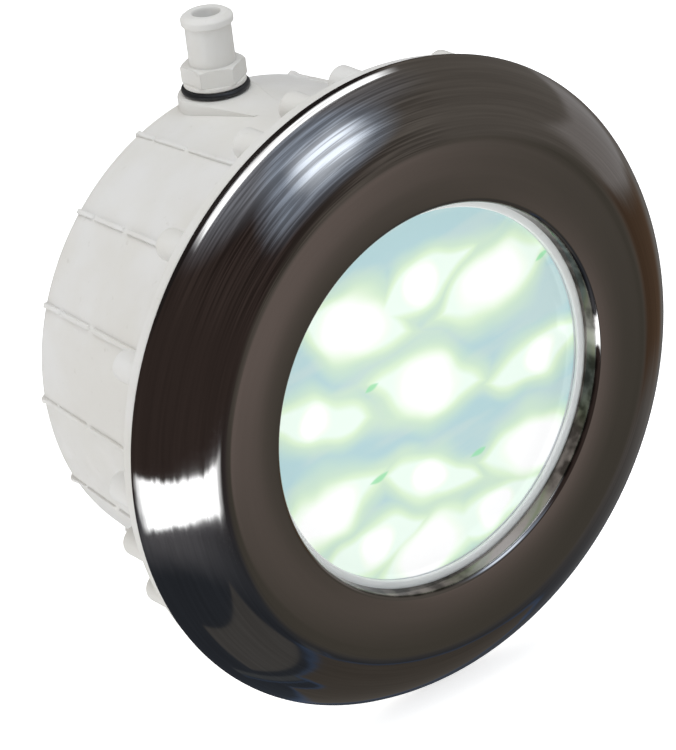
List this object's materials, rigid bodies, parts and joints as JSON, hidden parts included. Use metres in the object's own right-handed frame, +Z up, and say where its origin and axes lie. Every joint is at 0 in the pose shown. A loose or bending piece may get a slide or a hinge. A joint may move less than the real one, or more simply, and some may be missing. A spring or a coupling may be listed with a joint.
{
  "type": "underwater pool light",
  "caption": "Round underwater pool light: polished ring with a clear lens over a lit LED board, pale ribbed wall niche behind and a hose-tail conduit fitting with a black seal on top.",
  "frame": {"origin": "centre of the flat outside face of the niche's back wall", "axes": "+Y runs along the light's axis toward the wall it is sunk in, so the light shines toward -Y; +Z is up, along the conduit fitting; +X is to the right as seen from the pool"},
  "size_m": [0.2698, 0.1349, 0.2747],
  "materials": {
    "white_plastic": "satin moulded",
    "grey_plastic": "satin moulded",
    "rubber": "matte",
    "silicone": "translucent satin",
    "polished_steel": "polished with a fine circular brushing",
    "plain_steel": "plain",
    "spring_steel": "rolled",
    "window": "clear, fluted behind",
    "board_white": "solder-mask white",
    "led_glow": "lit, cold white",
    "heat_sink_metal": "as extruded",
    "circuit_green": "solder mask",
    "terminal_grey": "moulded"
  },
  "bodies": {
    "niche": {"niche_shell": "white_plastic", "flange_gasket": "rubber", "clamp_ring": "white_plastic", "clamp_screw_01": "plain_steel", "clamp_screw_02": "plain_steel", "clamp_screw_03": "plain_steel", "clamp_screw_04": "plain_steel", "clamp_screw_05": "plain_steel", "clamp_screw_06": "plain_steel", "clamp_screw_07": "plain_steel", "clamp_screw_08": "plain_steel", "clamp_screw_09": "plain_steel", "clamp_screw_10": "plain_steel", "clamp_screw_11": "plain_steel", "clamp_screw_12": "plain_steel", "clamp_screw_13": "plain_steel", "clamp_screw_14": "plain_steel", "clamp_screw_15": "plain_steel", "clamp_screw_16": "plain_steel", "catch_stud_1": "plain_steel", "catch_stud_2": "plain_steel", "catch_stud_3": "plain_steel", "catch_stud_4": "plain_steel"},
    "conduit_seal": {"conduit_o_ring": "rubber"},
    "conduit_fitting": {"conduit_fitting": "white_plastic"},
    "lamp_insert": {"lamp_carrier": "white_plastic", "retaining_ring": "spring_steel", "lens_bezel": "grey_plastic", "lens_gasket": "silicone", "lens": "window", "bowl_seal": "rubber", "lamp_bowl": "white_plastic", "led_board": "board_white", "heat_sink": "heat_sink_metal", "driver_board": "circuit_green", "terminal_block": "terminal_grey", "gland_body": "grey_plastic", "gland_locknut": "grey_plastic", "gland_seal": "rubber", "led_01": "led_glow", "led_02": "led_glow", "led_03": "led_glow", "led_04": "led_glow", "led_05": "led_glow", "led_06": "led_glow", "led_07": "led_glow", "led_08": "led_glow", "led_09": "led_glow", "led_10": "led_glow", "led_11": "led_glow", "led_12": "led_glow"},
    "gland_washer": {"gland_washer": "grey_plastic"},
    "gland_nut": {"gland_nut": "grey_plastic"},
    "face": {"face_trim": "polished_steel", "trim_clip_1": "spring_steel", "trim_clip_2": "spring_steel", "trim_clip_3": "spring_steel"}
  },
  "joints": [
    {"name": "lamp_pull", "type": "slide", "parent": "niche", "child": "lamp_insert", "axis": [0, -1, 0], "range_m": [0, 0.12]},
    {"name": "face_pull", "type": "slide", "parent": "lamp_insert", "child": "face", "axis": [0, -1, 0], "range_m": [0, 0.04]},
    {"name": "conduit_lift", "type": "slide", "parent": "niche", "child": "conduit_seal", "axis": [0, 0, 1], "range_m": [0, 0.0163]},
    {"name": "conduit_turn", "type": "hinge", "parent": "conduit_seal", "child": "conduit_fitting", "pos_m": [-0.0072, -0.0155, 0.108], "axis": [0, 0, 1], "range_deg": [0, 3240]},
    {"name": "gland_back_off", "type": "slide", "parent": "lamp_insert", "child": "gland_washer", "axis": [0, 1, 0], "range_m": [0, 0.0074]},
    {"name": "gland_turn", "type": "hinge", "parent": "gland_washer", "child": "gland_nut", "pos_m": [0, -0.025, 0], "axis": [0, 1, 0], "range_deg": [0, 1800]}
  ],
  "couplings": [
    {"joint": "conduit_turn", "follows": "conduit_lift", "rad_per_m": 3463.7},
    {"joint": "gland_turn", "follows": "gland_back_off", "rad_per_m": 4188.8}
  ]
}
